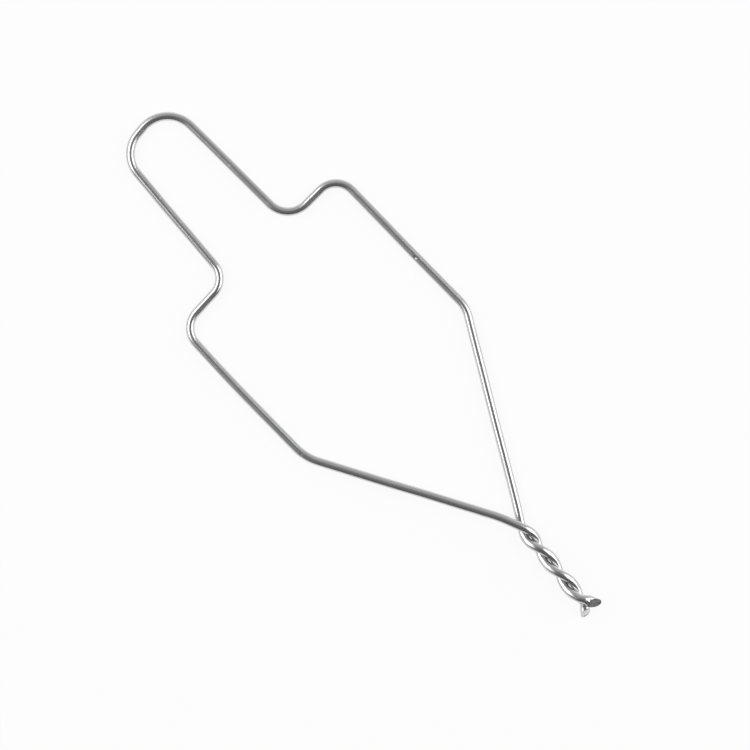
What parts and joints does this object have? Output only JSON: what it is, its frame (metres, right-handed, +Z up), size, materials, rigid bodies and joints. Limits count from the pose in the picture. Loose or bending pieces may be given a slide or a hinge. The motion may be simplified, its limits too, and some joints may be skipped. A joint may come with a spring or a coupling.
{
  "type": "inoculating loop",
  "caption": "Flat bottle-shaped loop of bright round wire with a narrow rounded nose, square shoulders, tapering legs and a short twisted tail.",
  "frame": {"origin": "bottom centre of the box round the whole loop, on the surface that the flat loop lies on", "axes": "+Y along the loop from the twisted tail to the nose, +X across the loop, +Z up out of the loop's plane"},
  "size_m": [0.0416, 0.121, 0.0034],
  "materials": {
    "wire": "bright drawn stainless wire, smooth along its length, bare sheared metal at the two cut ends"
  },
  "bodies": {
    "root": {"loop_wire": "wire"}
  },
  "joints": []
}
